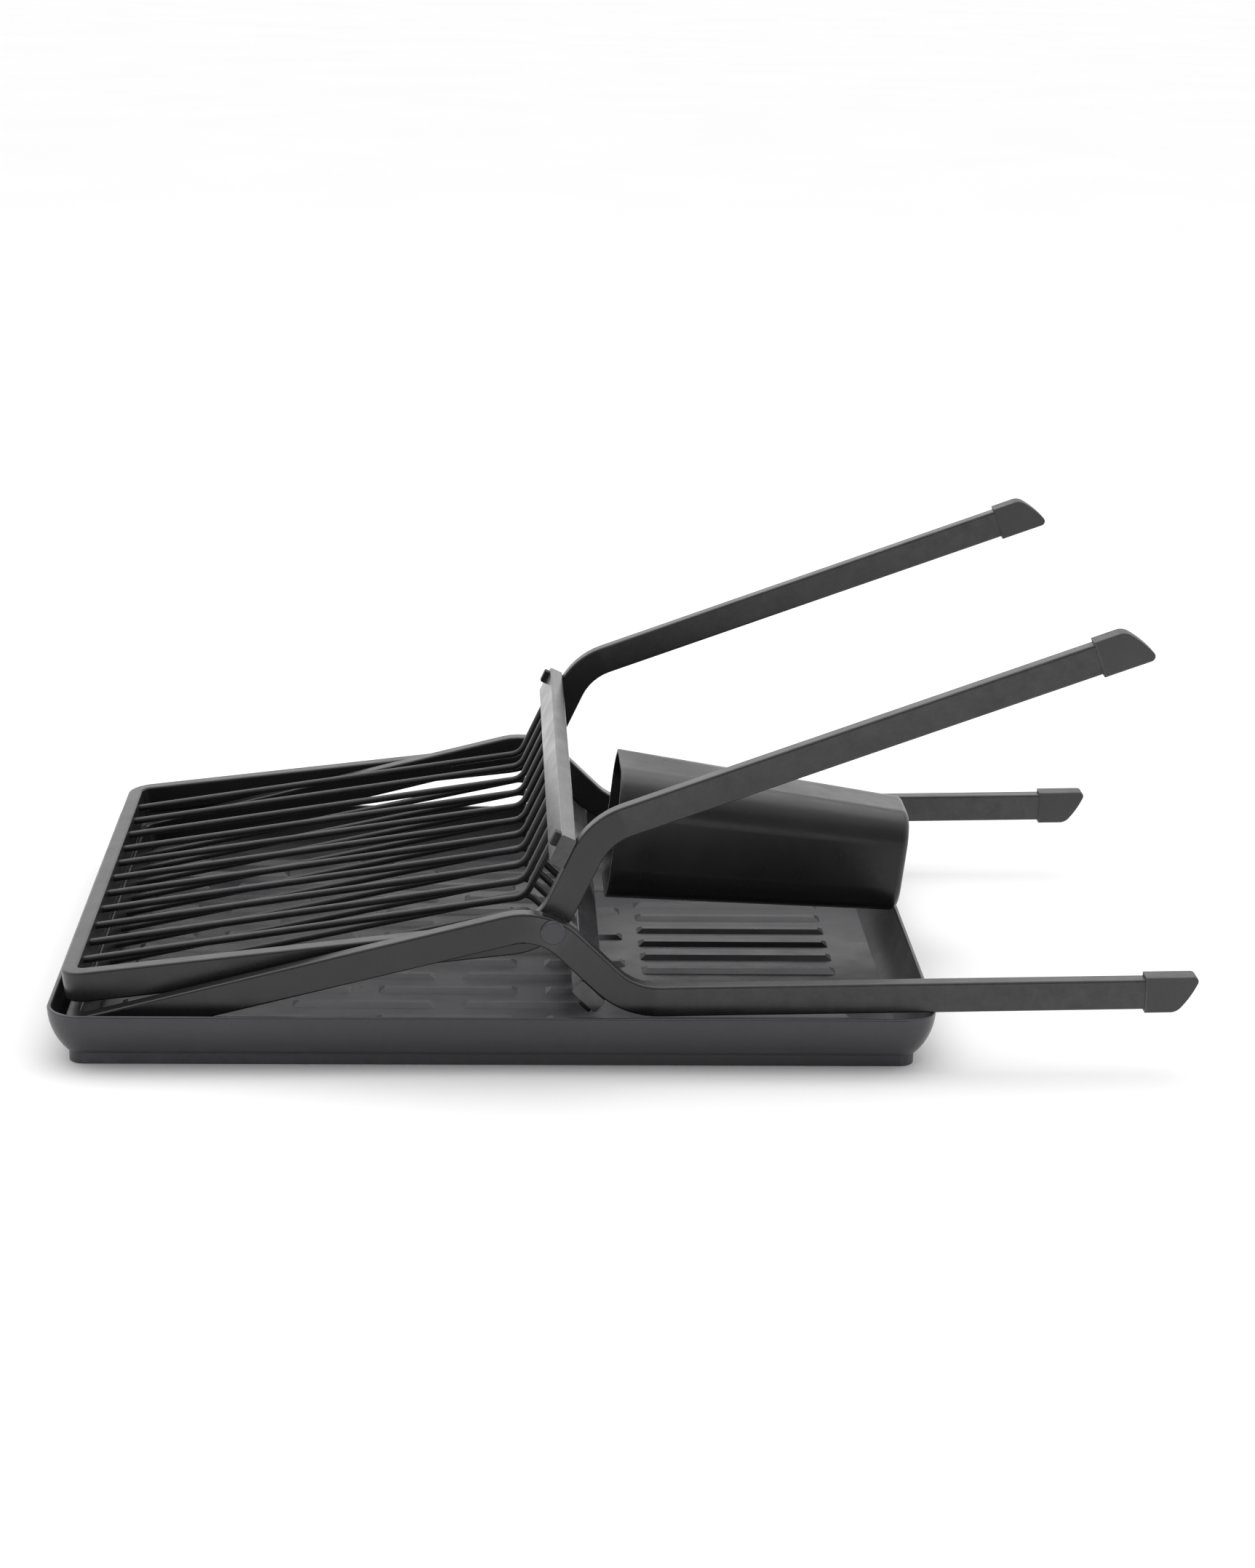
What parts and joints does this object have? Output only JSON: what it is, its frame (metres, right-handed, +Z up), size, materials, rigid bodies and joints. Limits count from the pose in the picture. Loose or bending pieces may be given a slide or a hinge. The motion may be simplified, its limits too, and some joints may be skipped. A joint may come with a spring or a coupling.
{
  "type": "folding dish and bottle drying rack",
  "caption": "Folding wire drying rack, two riveted U frames with foot caps, stored flat on its ribbed drip tray with a utensil cup.",
  "frame": {"origin": "middle of the drip tray's footprint, on the surface that the tray stands on", "axes": "+X along the tray, towards the feet of the folded rack; +Y across the tray, away from the front; +Z up"},
  "size_m": [0.5484, 0.334, 0.2131],
  "materials": {
    "tray_plastic": "fine matte moulded plastic",
    "cup_plastic": "satin moulded plastic",
    "frame_coating": "satin dark grey powder coat",
    "crossbar_coating": "smooth satin grey powder coat",
    "wire_coating": "satin dark grey powder coat",
    "pad_rubber": "matte",
    "cap_rubber": "matte",
    "rivet_metal": "satin blue grey paint",
    "washer_plastic": "smooth nylon"
  },
  "bodies": {
    "tray": {"drip_tray": "tray_plastic"},
    "pivots": {"pivot_rivet_near": "rivet_metal", "pivot_rivet_far": "rivet_metal", "pivot_washer_near": "washer_plastic", "pivot_washer_far": "washer_plastic"},
    "lower_rack": {"lower_frame": "frame_coating", "lower_crossbar": "crossbar_coating", "lower_crossbar_pads": "pad_rubber", "lower_wire_01": "wire_coating", "lower_wire_02": "wire_coating", "lower_wire_03": "wire_coating", "lower_wire_04": "wire_coating", "lower_wire_05": "wire_coating", "lower_wire_06": "wire_coating", "lower_wire_07": "wire_coating", "lower_wire_08": "wire_coating", "lower_wire_09": "wire_coating", "lower_wire_10": "wire_coating", "lower_wire_11": "wire_coating", "lower_foot_cap_near": "cap_rubber", "lower_foot_cap_far": "cap_rubber"},
    "upper_rack": {"upper_frame": "frame_coating", "upper_crossbar": "crossbar_coating", "upper_crossbar_pads": "pad_rubber", "upper_wire_01": "wire_coating", "upper_wire_02": "wire_coating", "upper_wire_03": "wire_coating", "upper_wire_04": "wire_coating", "upper_wire_05": "wire_coating", "upper_wire_06": "wire_coating", "upper_wire_07": "wire_coating", "upper_wire_08": "wire_coating", "upper_wire_09": "wire_coating", "upper_wire_10": "wire_coating", "upper_wire_11": "wire_coating", "upper_foot_cap_near": "cap_rubber", "upper_foot_cap_far": "cap_rubber"},
    "cup": {"utensil_cup": "cup_plastic"}
  },
  "joints": [
    {"name": "rack_lift", "type": "slide", "parent": "tray", "child": "pivots", "axis": [0, 0, 1], "range_m": [0, 0.4]},
    {"name": "lower_frame_turn", "type": "hinge", "parent": "pivots", "child": "lower_rack", "pos_m": [0.0272, 0, 0.06759], "axis": [0, 1, 0], "range_deg": [0, 59]},
    {"name": "upper_frame_turn", "type": "hinge", "parent": "pivots", "child": "upper_rack", "pos_m": [0.0272, 0, 0.06759], "axis": [0, 1, 0], "range_deg": [0, 142.5]},
    {"name": "cup_lift", "type": "slide", "parent": "tray", "child": "cup", "axis": [0.5, 0, 0.866], "range_m": [0, 0.15]}
  ],
  "couplings": [
    {"joint": "lower_frame_turn", "follows": "rack_lift", "rad_per_m": 2.574},
    {"joint": "upper_frame_turn", "follows": "rack_lift", "rad_per_m": 6.217}
  ]
}
